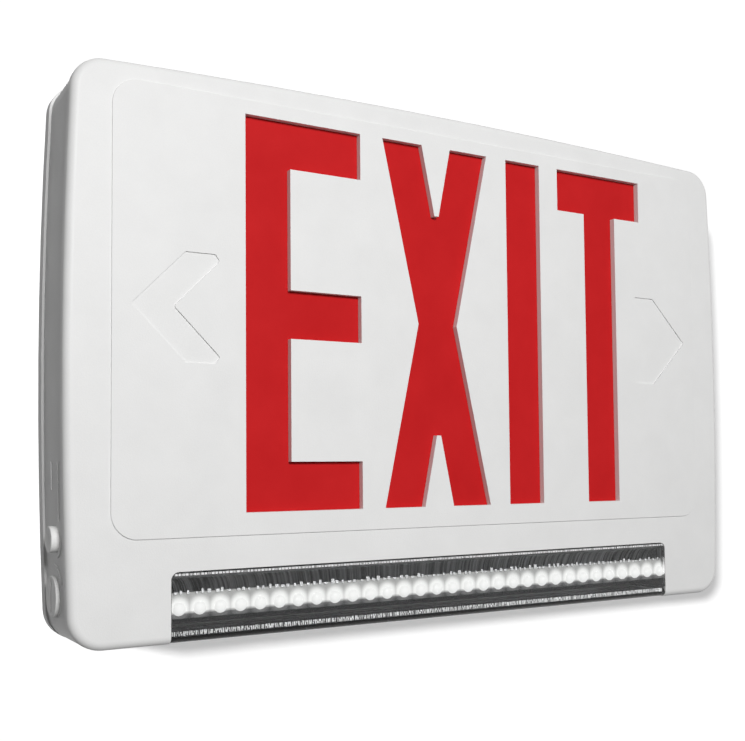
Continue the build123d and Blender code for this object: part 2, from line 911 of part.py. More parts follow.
def trough_sector(radius, x_from, x_to):
    """A quarter disc behind the lamps, from straight up round to the back."""
    deep, z = trough_axis_depth, trough_axis_height
    disc = side_rod(radius, x_from, x_to, deep, z)
    reach = radius + 1
    quarter = box_between((x_from, x_to), (deep, deep + reach), (z, z + reach))
    return disc & quarter


def light_reflector():
    half = trough_half_length
    top = trough_axis_height + trough_radius
    trough = trough_sector(trough_radius, -half, half)
    trough -= trough_sector(trough_radius - trough_wall, -half + trough_wall, half - trough_wall)
    floor = flange_low + lens_flange_wall + fit_gap
    trough -= box_between((-half - 1, half + 1), (0, depth), (trough_axis_height - 1, floor))
    for x in (-ear_position, ear_position):
        ear_x = (x - ear_width / 2, x + ear_width / 2)
        base = top - trough_wall - ear_root
        ear = box_between(ear_x, (ear_depth, ear_depth + ear_wall), (base, top + ear_rise))
        ear -= front_rod(clearance_radius, x, ear_hole_height(), ear_depth + 4, ear_depth - 4)
        inside = trough_sector(trough_radius - trough_wall / 2, x - ear_width, x + ear_width)
        trough += ear - inside
    for sign in (-1, 1):
        hole_x = (sign * (half + 1), sign * (half - trough_wall - 1))
        trough -= side_rod(clearance_radius, min(hole_x), max(hole_x), strip_middle(), lamp_line)
    return trough


def ear_hole_height():
    return trough_axis_height + trough_radius + (ear_rise + ear_hole_rise) / 2


def board_front():
    return panel_step + lens_recess + lens_wall + lamp_clearance + lamp_height


def strip_middle():
    return board_front() + board_thickness + heat_strip_thickness / 2


def strip_half_length():
    return trough_half_length - strip_board_margin


def light_board():
    half = strip_half_length()
    width = strip_board_width / 2
    return box_between((lamp_row_shift - half, lamp_row_shift + half),
                       (board_front(), board_front() + board_thickness),
                       (lamp_line - width, lamp_line + width))


def light_leds():
    """The row of lamps on the board, as many as its length takes."""
    count = int(2 * strip_half_length() / lamp_pitch) + 1
    lamps = []
    for index in range(count):
        x = lamp_row_shift + (index - (count - 1) / 2) * lamp_pitch
        lamp = front_rod(lamp_radius, x, lamp_line, board_front(), board_front() - lamp_height)
        crown = lamp.faces().sort_by(Axis.Y)[0].edges()
        lamps.append(chamfer(crown, lamp_crown))
    return Compound(children=lamps)


def light_heat_strip():
    start = board_front() + board_thickness
    half = trough_half_length - trough_wall
    width = heat_strip_width / 2
    strip = box_between((-half, half), (start, start + heat_strip_thickness),
                        (lamp_line - width, lamp_line + width))
    for sign in (-1, 1):
        hole = (sign * half, sign * (half - strip_screw_length - 1))
        strip -= side_rod(strip_screw_radius + screw_fit, min(hole), max(hole), strip_middle(), lamp_line)
    return strip


def strip_screws():
    """Two screws through the trough's end cheeks into the heat strip."""
    deep = strip_middle()
    screws = []
    for sign in (-1, 1):
        outer = sign * trough_half_length
        head = (outer, outer + sign * screw_head_height)
        shank = (outer, outer - sign * strip_screw_length)
        body = side_rod(screw_head_radius, min(head), max(head), deep, lamp_line)
        body += side_rod(strip_screw_radius, min(shank), max(shank), deep, lamp_line)
        screws.append(body)
    return Compound(children=screws)


# Test button and switch

def button_stop():
    """X of the inner boss face that the button's flange rests against."""
    return -side_face(button_depth, button_height) + frame_wall + boss_length


def flange_end():
    return button_stop() + fit_gap + button_flange_wall


def switch_face():
    return flange_end() + button_travel + switch_gap


def test_button():
    outer = -side_face(button_depth, button_height) - button_proud
    shank = side_rod(button_radius, outer, button_stop() + fit_gap, button_depth, button_height)
    cap = shank.faces().sort_by(Axis.X)[0]
    shank = fillet(cap.edges(), button_edge)
    dish_radius = (button_radius ** 2 + button_dish ** 2) / (2 * button_dish)
    dish = Pos(outer + button_dish - dish_radius, button_depth - depth, button_height) * Sphere(dish_radius)
    shank -= dish
    flange = side_rod(button_radius + button_flange, button_stop() + fit_gap, flange_end(),
                      button_depth, button_height)
    return shank + flange


def switch_plunger():
    start = flange_end()
    return side_rod(plunger_radius, start, start + plunger_length, button_depth, button_height)


def test_switch():
    front = switch_face()
    half = switch_size / 2
    body = box_between((front, front + switch_length), (button_depth - half, button_depth + half),
                       (button_height - half, button_height + half))
    hole_end = flange_end() + plunger_length + button_travel + switch_gap
    body -= side_rod(plunger_radius + bore_clearance, front, hole_end, button_depth, button_height)
    return body


# Cover lock

def cover_lock():
    """Slotted round head, shank in the wall's boss and a spigot for the tongue."""
    face = -side_face(lock_depth, lock_height) - pad_proud - fit_gap
    outer = face - lock_head_height
    head = side_rod(lock_head_radius, outer, face, lock_depth, lock_height)
    head = fillet(head.faces().sort_by(Axis.X)[0].edges(), lock_edge)
    plane = Plane(origin=(outer, lock_depth - depth, lock_height), x_dir=(0, 1, 0), z_dir=(1, 0, 0))
    slot = SlotOverall(lock_slot_length, lock_slot_width, rotation=90)
    head -= extrude(plane * slot, amount=lock_slot_depth)
    shank_end = tongue_face()
    shank = side_rod(lock_shank_radius, face, shank_end, lock_depth, lock_height)
    spigot = side_rod(spigot_radius, shank_end, shank_end + tongue_thickness, lock_depth, lock_height)
    lock = head + shank + spigot
    end = shank_end + tongue_thickness
    pilot = side_rod(screw_radius + screw_fit, end - lock_screw_length - 1, end, lock_depth, lock_height)
    return lock - pilot


def lock_tongue():
    """Steel tongue that stands up in front of the cover's catch."""
    plane = Plane(origin=(tongue_face(), lock_depth - depth, lock_height), x_dir=(0, 1, 0), z_dir=(1, 0, 0))
    straight = tongue_length - tongue_half_width
    blade = Circle(spigot_radius + tongue_eye_wall)
    blade += Pos(0, straight / 2) * Rectangle(2 * tongue_half_width, straight)
    blade += Pos(0, straight) * Circle(tongue_half_width)
    blade -= Circle(spigot_radius + screw_fit)
    return extrude(plane * blade, amount=tongue_thickness)


def lock_screw():
    end = tongue_face() + tongue_thickness
    head = side_rod(lock_screw_head_radius, end, end + screw_head_height, lock_depth, lock_height)
    return head + side_rod(screw_radius, end - lock_screw_length, end, lock_depth, lock_height)


# Battery, transformer and circuit

def battery_pack():
    """Upright cells side by side in one shrink sleeve."""
    middle = floor_face - battery_seat - battery_cell_radius
    half = battery_cell_length / 2
    plane = Plane(origin=(battery_x, middle - depth, battery_z - half), z_dir=(0, 0, 1))
    web = battery_span() / 2 - battery_cell_radius
    outline = Rectangle(2 * web, 2 * battery_web)
    for index in range(battery_cells):
        place = (index - (battery_cells - 1) / 2) * battery_pitch()
        outline += Pos(place, 0) * Circle(battery_cell_radius)
    return extrude(plane * outline, amount=battery_cell_length)


def foot_seat():
    """Depth of the posts' faces under the strap's and the bracket's feet."""
    return floor_face - foot_rise


def strap_foot_places():
    reach = battery_span() / 2 + strap_gap + strap_wall + strap_foot / 2
    return [(battery_x - reach, battery_z), (battery_x + reach, battery_z)]


def channel_over(middle, half_z, inner, wall, crown, foot):
    """A channel whose crown bridges a part, with a drilled foot on each side."""
    x, z = middle
    outer = inner + wall
    seat = foot_seat()
    rows = (z - half_z, z + half_z)
    channel = box_between((x - outer, x + outer), (crown - wall, seat), rows)
    channel -= box_between((x - inner, x + inner), (crown, seat), rows)
    for sign in (-1, 1):
        ends = (x + sign * inner, x + sign * (outer + foot))
        channel += box_between((min(ends), max(ends)), (seat - wall, seat), rows)
        hole_x = x + sign * (outer + foot / 2)
        channel -= front_rod(clearance_radius, hole_x, z, seat + 1, seat - wall - 1)
    return channel


def battery_strap():
    inner = battery_span() / 2 + strap_gap
    crown = floor_face - 2 * battery_seat - 2 * battery_cell_radius
    return channel_over((battery_x, battery_z), strap_width / 2, inner, strap_wall, crown, strap_foot)


def core_depths():
    back = floor_face - transformer_rise - coil_build
    return back, back - core_stack


def transformer_core():
    """Laminated core with a winding window each side of its middle leg."""
    back, front = core_depths()
    plate = Rectangle(core_width, core_height)
    window_width = (coil_width - core_leg) / 2
    for sign in (-1, 1):
        plate -= Pos(sign * (core_leg + window_width) / 2, 0) * Rectangle(window_width, coil_height)
    return slab(Pos(transformer_x, transformer_z) * plate, back, front)


def transformer_coil():
    back, front = core_depths()
    half_x = coil_width / 2 - coil_gap
    half_z = coil_height / 2 - coil_gap
    coil = box_between((transformer_x - half_x, transformer_x + half_x),
                       (front - coil_build, back + coil_build),
                       (transformer_z - half_z, transformer_z + half_z))
    upright = coil.edges().filter_by(Axis.Z)
    coil = fillet(upright, coil_corner)
    leg = core_leg / 2 + coil_gap
    return coil - box_between((transformer_x - leg, transformer_x + leg), (front - coil_gap, back + coil_gap),
                              (transformer_z - core_height, transformer_z + core_height))


def bracket_foot_places():
    reach = core_width / 2 + coil_gap + bracket_wall + bracket_foot / 2
    return [(transformer_x - reach, transformer_z), (transformer_x + reach, transformer_z)]


def transformer_bracket():
    """Channel over the core with a window for the winding."""
    crown = core_depths()[1] - coil_gap
    inner = core_width / 2 + coil_gap
    middle = (transformer_x, transformer_z)
    channel = channel_over(middle, bracket_height / 2, inner, bracket_wall, crown, bracket_foot)
    opening_x = coil_width / 2 + bracket_opening_gap
    opening_z = coil_height / 2 + bracket_opening_gap
    return channel - box_between((transformer_x - opening_x, transformer_x + opening_x),
                                 (crown - bracket_wall - 1, crown + 1),
                                 (transformer_z - opening_z, transformer_z + opening_z))


def circuit_hole_places():
    reach_x = circuit_width / 2 - circuit_hole_inset
    reach_z = circuit_height / 2 - circuit_hole_inset
    return [(circuit_x + x, circuit_z + z) for x, z in mirrored_pairs(reach_x, reach_z)]


def circuit_face():
    return floor_face - circuit_standoff - circuit_thickness


def charger_board():
    board = Pos(circuit_x, circuit_z) * Rectangle(circuit_width, circuit_height)
    board = slab(board, floor_face - circuit_standoff, circuit_face())
    for x, z in circuit_hole_places():
        board -= front_rod(clearance_radius, x, z, floor_face, circuit_face() - 1)
    return board


def standing_on_board(x, z, width, height, rise):
    """A block on the board's face, from its middle, width, height and rise."""
    return box_between((x - width / 2, x + width / 2), (circuit_face() - rise, circuit_face()),
                       (z - height / 2, z + height / 2))


def front_edges(solid):
    return solid.faces().sort_by(Axis.Y)[0].edges()


def charger_relay():
    relay = standing_on_board(circuit_left + relay_from_side, circuit_top - relay_from_top,
                              relay_width, relay_height, relay_depth)
    return chamfer(front_edges(relay), part_edge)


def charger_capacitors():
    x = circuit_right - capacitor_from_side
    cans = []
    for step in range(capacitor_count):
        z = circuit_top - capacitor_from_top - capacitor_pitch * step
        can = front_rod(capacitor_radius, x, z, circuit_face(), circuit_face() - capacitor_depth)
        cans.append(chamfer(front_edges(can), part_edge))
    return Compound(children=cans)


def charger_headers():
    """Open plug headers along the board's inner edge."""
    x = circuit_left + header_from_side
    headers = []
    for step in range(header_count):
        z = circuit_bottom + header_from_bottom + header_pitch * step
        shell = standing_on_board(x, z, header_width, header_height, header_depth)
        inside_width = header_width - 2 * header_wall
        inside_height = header_height - 2 * header_wall
        inside = standing_on_board(x, z, inside_width, inside_height, header_depth)
        headers.append(shell - Pos(0, -header_floor, 0) * inside)
    return Compound(children=headers)


def charger_heat_sink():
    """Finned block on the charger's power stage."""
    x = circuit_right - sink_from_side
    z = circuit_bottom + sink_from_bottom
    sink = standing_on_board(x, z, sink_width, sink_height, sink_base)
    span = sink_width - 2 * fin_inset
    for step in range(fin_count):
        fin = x - span / 2 + span * step / (fin_count - 1)
        sink += standing_on_board(fin, z, fin_wall, sink_height, sink_depth)
    return sink


def pole_places():
    pitch = terminal_width / terminal_poles
    return [(index - (terminal_poles - 1) / 2) * pitch for index in range(terminal_poles)]


def terminal_block():
    """Supply terminals with a screw well and a wire mouth for each pole."""
    half = terminal_width / 2
    low = terminal_z - terminal_height / 2
    front = floor_face - terminal_depth
    block = box_between((-half, half), (front, floor_face), (low, low + terminal_height))
    well_floor = front + terminal_well_depth
    mouth = (well_floor + 1, well_floor + 1 + mouth_depth)
    half_mouth = mouth_width / 2
    for x in pole_places():
        block -= front_rod(terminal_screw_radius + fit_gap, x, terminal_z, well_floor, front - 1)
        block -= box_between((x - half_mouth, x + half_mouth), mouth, (low - 1, low + mouth_reach))
    return block


def terminal_screws():
    """Clamping screws seated at the bottom of the wells."""
    seat = floor_face - terminal_depth + terminal_well_depth
    tip = seat - terminal_screw_height
    screws = [front_rod(terminal_screw_radius, x, terminal_z, seat, tip) for x in pole_places()]
    return Compound(children=screws)


# Screws

def pan_screws():
    places = [(x, z + legend_centre) for x, z in pan_post_places()]
    return screw_group(places, pan_back - pan_wall, pan_back + pan_screw_length)


def ear_screws():
    places = [(sign * ear_position, ear_hole_height()) for sign in (-1, 1)]
    return screw_group(places, ear_depth, ear_depth + ear_screw_length)


def frame_screws():
    return screw_group(frame_screw_places(), frame_back - lug_wall, floor_face - screw_hole_gap)


def strap_screws():
    return screw_group(strap_foot_places(), foot_seat() - strap_wall, floor_face - screw_hole_gap)


def bracket_screws():
    return screw_group(bracket_foot_places(), foot_seat() - bracket_wall, floor_face - screw_hole_gap)


def board_screws():
    return screw_group(circuit_hole_places(), circuit_face(), floor_face - screw_hole_gap)


nodes = {
    "front_cover": front_cover(),
    "housing_frame": housing_frame(),
    "back_plate": back_plate(),
    "legend_panel": legend_panel(),
    "legend_reflector": legend_reflector(),
    "legend_board_upper": legend_board(1),
    "legend_board_lower": legend_board(-1),
    "legend_leds": legend_leds(),
    "light_lens": light_lens(),
    "light_reflector": light_reflector(),
    "light_board": light_board(),
    "light_leds": light_leds(),
    "light_heat_strip": light_heat_strip(),
    "light_strip_screws": strip_screws(),
    "light_ear_screws": ear_screws(),
    "test_button": test_button(),
    "switch_plunger": switch_plunger(),
    "test_switch": test_switch(),
    "cover_lock": cover_lock(),
    "lock_tongue": lock_tongue(),
    "lock_screw": lock_screw(),
    "battery_pack": battery_pack(),
    "battery_strap": battery_strap(),
    "transformer_core": transformer_core(),
    "transformer_coil": transformer_coil(),
    "transformer_bracket": transformer_bracket(),
    "charger_board": charger_board(),
    "charger_relay": charger_relay(),
    "charger_capacitors": charger_capacitors(),
    "charger_headers": charger_headers(),
    "charger_heat_sink": charger_heat_sink(),
    "terminal_block": terminal_block(),
    "terminal_screws": terminal_screws(),
    "pan_screws": pan_screws(),
    "frame_screws": frame_screws(),
    "board_screws": board_screws(),
    "strap_screws": strap_screws(),
    "bracket_screws": bracket_screws(),
}

os.makedirs("parts", exist_ok=True)
for name, shape in nodes.items():
    export_step(shape, f"parts/{name}.step")
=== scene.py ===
import json
import math
import random

import bmesh
import bpy
from mathutils import Matrix, Vector


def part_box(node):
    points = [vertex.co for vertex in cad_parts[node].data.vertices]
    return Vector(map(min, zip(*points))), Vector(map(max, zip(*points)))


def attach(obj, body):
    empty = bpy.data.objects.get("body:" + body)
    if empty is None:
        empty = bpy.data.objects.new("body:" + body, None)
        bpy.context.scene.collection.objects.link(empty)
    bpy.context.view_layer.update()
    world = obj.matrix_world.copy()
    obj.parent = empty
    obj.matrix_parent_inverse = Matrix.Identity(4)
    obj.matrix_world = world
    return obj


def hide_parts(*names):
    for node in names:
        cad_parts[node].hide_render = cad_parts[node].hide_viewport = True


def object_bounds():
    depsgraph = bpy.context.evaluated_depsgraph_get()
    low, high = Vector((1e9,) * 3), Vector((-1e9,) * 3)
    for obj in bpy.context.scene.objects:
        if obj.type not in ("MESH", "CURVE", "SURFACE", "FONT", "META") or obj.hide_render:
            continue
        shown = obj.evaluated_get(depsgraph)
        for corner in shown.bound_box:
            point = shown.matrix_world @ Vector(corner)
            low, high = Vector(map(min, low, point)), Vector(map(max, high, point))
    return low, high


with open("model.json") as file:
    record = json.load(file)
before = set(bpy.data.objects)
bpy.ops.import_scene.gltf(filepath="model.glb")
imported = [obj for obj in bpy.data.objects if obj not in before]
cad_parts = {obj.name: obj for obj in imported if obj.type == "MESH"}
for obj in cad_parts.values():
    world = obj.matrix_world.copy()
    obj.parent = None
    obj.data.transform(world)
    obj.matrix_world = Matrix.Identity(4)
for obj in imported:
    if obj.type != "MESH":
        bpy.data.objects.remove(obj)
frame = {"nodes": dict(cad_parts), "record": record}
cadLow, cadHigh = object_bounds()
print("Frame loaded:", len(frame["nodes"]), "nodes")


# Node helpers

def newMaterial(name):
    made = bpy.data.materials.new(name)
    made.use_nodes = True
    tree = made.node_tree
    return made, tree, tree.nodes["Principled BSDF"]


def place(tree, kind, inputs=None, **settings):
    # one node, its settings and the values of its open sockets
    node = tree.nodes.new(kind)
    for key, value in settings.items():
        setattr(node, key, value)
    for key, value in (inputs or {}).items():
        node.inputs[key].default_value = value
    return node


def objectPoint(tree):
    return place(tree, "ShaderNodeTexCoord").outputs["Object"]


def splitPoint(tree, point):
    # a point's X, Y and Z
    node = place(tree, "ShaderNodeSeparateXYZ")
    tree.links.new(point, node.inputs[0])
    return node.outputs


def maths(tree, operation, first, second=None):
    node = place(tree, "ShaderNodeMath", operation=operation)
    for index, value in enumerate((first, second)):
        if value is None:
            continue
        if isinstance(value, (int, float)):
            node.inputs[index].default_value = value
        else:
            tree.links.new(value, node.inputs[index])
    return node.outputs[0]


def mixColours(tree, mask, first, second):
    # the Mix node keeps its colours in sockets 6 and 7 and puts them out at 2
    node = place(tree, "ShaderNodeMix", data_type="RGBA")
    tree.links.new(mask, node.inputs[0])
    for socket, value in ((node.inputs[6], first), (node.inputs[7], second)):
        if isinstance(value, tuple):
            socket.default_value = (*value, 1)
        else:
            tree.links.new(value, socket)
    return node.outputs[2]


def ramp(tree, value, low, high, fromValue=0.0, toValue=1.0):
    # runs from one value to the other between low and high, and stays level outside
    node = place(tree, "ShaderNodeMapRange", {"From Min": low, "From Max": high,
                                              "To Min": fromValue, "To Max": toValue})
    tree.links.new(value, node.inputs["Value"])
    return node.outputs["Result"]


def paint(tree, shader, mask, low, high):
    tree.links.new(mixColours(tree, mask, low, high), shader.inputs["Base Color"])


def polish(tree, shader, mask, roughness):
    tree.links.new(ramp(tree, mask, 0, 1, *roughness), shader.inputs["Roughness"])


def bumped(tree, shader, height, strength, distance):
    node = place(tree, "ShaderNodeBump", {"Strength": strength, "Distance": distance})
    tree.links.new(height, node.inputs["Height"])
    tree.links.new(node.outputs["Normal"], shader.inputs["Normal"])


def newGroup(name, inputs, outputs):
    group = bpy.data.node_groups.new(name, "ShaderNodeTree")
    for label, kind in inputs:
        group.interface.new_socket(name=label, in_out="INPUT", socket_type=kind)
    for label, kind in outputs:
        group.interface.new_socket(name=label, in_out="OUTPUT", socket_type=kind)
    entry = group.nodes.new("NodeGroupInput")
    leave = group.nodes.new("NodeGroupOutput")
    return group, entry.outputs, leave.inputs


def placeGroup(tree, group, values, point=None):
    # a shared effect with its own values, on the object's coordinates unless told otherwise
    node = place(tree, "ShaderNodeGroup", values, node_tree=group)
    tree.links.new(objectPoint(tree) if point is None else point, node.inputs["Vector"])
    return node.outputs


number, vector = "NodeSocketFloat", "NodeSocketVector"


# Shared effects

mould = {"fineDetail": 3.0, "fineRoughness": 0.65, "slowDetail": 4.0, "slowRoughness": 0.6,
         "pitHeight": 0.6, "fineShare": 0.4, "slowShare": 0.6, "toneFrom": 0.35, "toneTo": 0.65}


def makeMouldGrain():
    # spark-eroded mould skin: small rounded pits and a slow change of tone
    group, given, wanted = newGroup(
        "mouldGrain", [("Vector", vector), ("Scale", number), ("Mottle Scale", number)],
        [("Height", number), ("Tone", number)])
    fine = place(group, "ShaderNodeTexNoise",
                 {"Detail": mould["fineDetail"], "Roughness": mould["fineRoughness"]})
    pits = place(group, "ShaderNodeTexVoronoi", feature="SMOOTH_F1")
    slow = place(group, "ShaderNodeTexNoise",
                 {"Detail": mould["slowDetail"], "Roughness": mould["slowRoughness"]})
    for node, scale in ((fine, "Scale"), (pits, "Scale"), (slow, "Mottle Scale")):
        group.links.new(given["Vector"], node.inputs["Vector"])
        group.links.new(given[scale], node.inputs["Scale"])
    pitted = maths(group, "MULTIPLY", pits.outputs["Distance"], mould["pitHeight"])
    group.links.new(maths(group, "ADD", fine.outputs["Fac"], pitted), wanted["Height"])
    tone = maths(group, "ADD", maths(group, "MULTIPLY", fine.outputs["Fac"], mould["fineShare"]),
                 maths(group, "MULTIPLY", slow.outputs["Fac"], mould["slowShare"]))
    group.links.new(ramp(group, tone, mould["toneFrom"], mould["toneTo"]), wanted["Tone"])
    return group


drawLines = {"detail": 5.0, "roughness": 0.7, "toneFrom": 0.3, "toneTo": 0.7}


def makeStreaks():
    # lines that run along one direction, for brushing and drawing marks, and for painted
    # reflections on the reflector and painted light on the lens prisms
    group, given, wanted = newGroup(
        "streaks", [("Vector", vector), ("Stretch", vector), ("Scale", number)],
        [("Height", number), ("Tone", number)])
    stretched = place(group, "ShaderNodeVectorMath", operation="MULTIPLY")
    group.links.new(given["Vector"], stretched.inputs[0])
    group.links.new(given["Stretch"], stretched.inputs[1])
    lines = place(group, "ShaderNodeTexNoise",
                  {"Detail": drawLines["detail"], "Roughness": drawLines["roughness"]})
    group.links.new(stretched.outputs[0], lines.inputs["Vector"])
    group.links.new(given["Scale"], lines.inputs["Scale"])
    group.links.new(lines.outputs["Fac"], wanted["Height"])
    tone = ramp(group, lines.outputs["Fac"], drawLines["toneFrom"], drawLines["toneTo"])
    group.links.new(tone, wanted["Tone"])
    return group


def makeLampGlow():
    # how much light a point near the row of lamps gets, from its distance to the nearest lamp;
    # it drives the lamps' own glow and the painted glow on the board around them
    group, given, wanted = newGroup(
        "lampGlow", [("Vector", vector), ("First Lamp", number), ("Pitch", number),
                     ("Line", number), ("Core", number), ("Reach", number)], [("Glow", number)])
    point = splitPoint(group, given["Vector"])
    along = maths(group, "SUBTRACT", point["X"], given["First Lamp"])
    steps = maths(group, "DIVIDE", along, given["Pitch"])
    beside = maths(group, "SUBTRACT", steps, maths(group, "ROUND", steps))
    side = maths(group, "MULTIPLY", beside, given["Pitch"])
    rise = maths(group, "SUBTRACT", point["Z"], given["Line"])
    squares = [maths(group, "POWER", maths(group, "ABSOLUTE", part), 2.0)
               for part in (side, rise)]
    away = maths(group, "SQRT", maths(group, "ADD", *squares))
    fade = place(group, "ShaderNodeMapRange", {"To Min": 1.0, "To Max": 0.0},
                 interpolation_type="SMOOTHSTEP")
    group.links.new(away, fade.inputs["Value"])
    group.links.new(given["Core"], fade.inputs["From Min"])
    group.links.new(given["Reach"], fade.inputs["From Max"])
    group.links.new(fade.outputs["Result"], wanted["Glow"])
    return group


mouldGrain, streaks, lampGlow = makeMouldGrain(), makeStreaks(), makeLampGlow()
print("Shared effects built")


# Finishes

plastics = {
    "coverWhite": {"low": (0.785, 0.785, 0.78), "high": (0.825, 0.825, 0.82),
                   "roughness": (0.42, 0.52), "grain": 1900, "mottle": 60,
                   "bump": 0.22, "depth": 0.00012, "specular": 0.25},
    "frameWhite": {"low": (0.75, 0.75, 0.745), "high": (0.79, 0.79, 0.785),
                   "roughness": (0.40, 0.50), "grain": 1700, "mottle": 50,
                   "bump": 0.22, "depth": 0.00012, "specular": 0.15},
    "legendRed": {"low": (0.52, 0.014, 0.016), "high": (0.58, 0.018, 0.020),
                  "roughness": (0.36, 0.48), "grain": 2400, "mottle": 45,
                  "bump": 0.12, "depth": 0.0001, "specular": 0.04},
    "buttonWhite": {"low": (0.81, 0.81, 0.80), "high": (0.85, 0.85, 0.84),
                    "roughness": (0.34, 0.42), "grain": 3200, "mottle": 120,
                    "bump": 0.10, "depth": 0.00006, "specular": 0.15},
    "lockWhite": {"low": (0.79, 0.79, 0.78), "high": (0.83, 0.83, 0.82),
                  "roughness": (0.36, 0.44), "grain": 3000, "mottle": 110,
                  "bump": 0.12, "depth": 0.00006, "specular": 0.12},
    "panWhite": {"low": (0.86, 0.86, 0.86), "high": (0.90, 0.90, 0.90),
                 "roughness": (0.30, 0.40), "grain": 2200, "mottle": 50,
                 "bump": 0.12, "depth": 0.0001, "specular": 0.5},
    "plungerWhite": {"low": (0.70, 0.69, 0.64), "high": (0.76, 0.75, 0.70),
                     "roughness": (0.42, 0.52), "grain": 2600, "mottle": 90,
                     "bump": 0.15, "depth": 0.0001, "specular": 0.5},
    "terminalCream": {"low": (0.62, 0.58, 0.46), "high": (0.68, 0.64, 0.52),
                      "roughness": (0.42, 0.55), "grain": 2200, "mottle": 70,
                      "bump": 0.20, "depth": 0.0001, "specular": 0.5},
    "switchBlack": {"low": (0.018, 0.018, 0.02), "high": (0.032, 0.032, 0.034),
                    "roughness": (0.35, 0.5), "grain": 2600, "mottle": 90,
                    "bump": 0.25, "depth": 0.0001, "specular": 0.5},
    "capacitorBlack": {"low": (0.015, 0.016, 0.03), "high": (0.03, 0.032, 0.05),
                       "roughness": (0.2, 0.32), "grain": 1400, "mottle": 80,
                       "bump": 0.08, "depth": 0.0001, "specular": 0.5},
    "coilTape": {"low": (0.62, 0.40, 0.05), "high": (0.72, 0.50, 0.09),
                 "roughness": (0.28, 0.4), "grain": 900, "mottle": 60,
                 "bump": 0.12, "depth": 0.0002, "specular": 0.5},
}


def mouldedPlastic(name):
    finish = plastics[name]
    material, tree, shader = newMaterial(name)
    grain = placeGroup(tree, mouldGrain, {"Scale": finish["grain"],
                                          "Mottle Scale": finish["mottle"]})
    paint(tree, shader, grain["Tone"], finish["low"], finish["high"])
    polish(tree, shader, grain["Tone"], finish["roughness"])
    bumped(tree, shader, grain["Height"], finish["bump"], finish["depth"])
    shader.inputs["Specular IOR Level"].default_value = finish["specular"]
    return material


metals = {
    "steelPlated": {"low": (0.46, 0.46, 0.45), "high": (0.62, 0.62, 0.60),
                    "roughness": (0.22, 0.42), "stretch": (1, 1, 14), "scale": 90,
                    "bump": 0.15, "depth": 0.00008},
    "screwPlated": {"low": (0.55, 0.55, 0.56), "high": (0.70, 0.70, 0.70),
                    "roughness": (0.18, 0.34), "stretch": (3, 10, 3), "scale": 120,
                    "bump": 0.15, "depth": 0.00008},
    "aluminiumBare": {"low": (0.66, 0.67, 0.68), "high": (0.80, 0.81, 0.82),
                      "roughness": (0.26, 0.44), "stretch": (0.4, 12, 12), "scale": 110,
                      "bump": 0.15, "depth": 0.00008},
}


def drawnMetal(name):
    finish = metals[name]
    material, tree, shader = newMaterial(name)
    lines = placeGroup(tree, streaks, {"Stretch": finish["stretch"], "Scale": finish["scale"]})
    paint(tree, shader, lines["Tone"], finish["low"], finish["high"])
    polish(tree, shader, lines["Tone"], finish["roughness"])
    bumped(tree, shader, lines["Height"], finish["bump"], finish["depth"])
    shader.inputs["Metallic"].default_value = 1.0
    return material


# lips and bars start and end at places in the frame
trough = {"dark": (0.11, 0.111, 0.113), "bright": (0.74, 0.745, 0.75),
          "stretch": (9, 0.1, 0.1), "scale": 75, "darkAt": 0.40, "brightAt": 0.60,
          "lean": 0.6,  # how far the waves lean across for each metre of depth
          "bars": (0.01, 0.01, 0.011), "barStretch": (14, 0.01, 0.01), "barScale": 28,
          "barEdge": 0.52, "barCore": 0.47, "barsFrom": 0.100, "barsFull": 0.106,
          "lip": (0.06, 0.06, 0.062), "lipTop": -0.0965, "lipEnd": -0.0985,
          "frontFrom": -0.0320, "frontFull": -0.0330,
          "roughness": (0.36, 0.50), "bump": 0.3, "depth": 0.0001}


def mirrorBright():
    # vacuum-metallised skin with painted reflections: dark and bright waves run up the curve,
    # dark bars near the two ends and dark lips along the bottom and the front are painted into
    # its colour
    material, tree, shader = newMaterial("mirrorBright")
    point = splitPoint(tree, objectPoint(tree))
    # the painted reflections lean across with depth
    leaning = place(tree, "ShaderNodeCombineXYZ")
    lean = maths(tree, "MULTIPLY", point["Y"], trough["lean"])
    tree.links.new(maths(tree, "SUBTRACT", point["X"], lean), leaning.inputs["X"])
    tree.links.new(point["Z"], leaning.inputs["Z"])
    waves = placeGroup(tree, streaks, {"Stretch": trough["stretch"], "Scale": trough["scale"]},
                       leaning.outputs[0])
    bars = placeGroup(tree, streaks, {"Stretch": trough["barStretch"],
                                      "Scale": trough["barScale"]}, leaning.outputs[0])
    # painted reflections: dark and bright waves in the metal's colour
    paintedReflection = mixColours(tree, ramp(tree, waves["Height"], trough["darkAt"], trough["brightAt"]),
                      trough["dark"], trough["bright"])
    # painted reflections: dark bars near the two ends
    ends = ramp(tree, maths(tree, "ABSOLUTE", point["X"]), trough["barsFrom"],
                trough["barsFull"])
    barred = maths(tree, "MULTIPLY", ends,
                   ramp(tree, bars["Height"], trough["barEdge"], trough["barCore"]))
    # painted dark reflections along the bottom and front lips
    low = ramp(tree, point["Z"], trough["lipTop"], trough["lipEnd"])
    front = ramp(tree, point["Y"], trough["frontFrom"], trough["frontFull"])
    paint(tree, shader, maths(tree, "MAXIMUM", low, front),
          mixColours(tree, barred, paintedReflection, trough["bars"]), trough["lip"])
    polish(tree, shader, waves["Tone"], trough["roughness"])
    bumped(tree, shader, waves["Height"], trough["bump"], trough["depth"])
    shader.inputs["Metallic"].default_value = 1.0
    return material


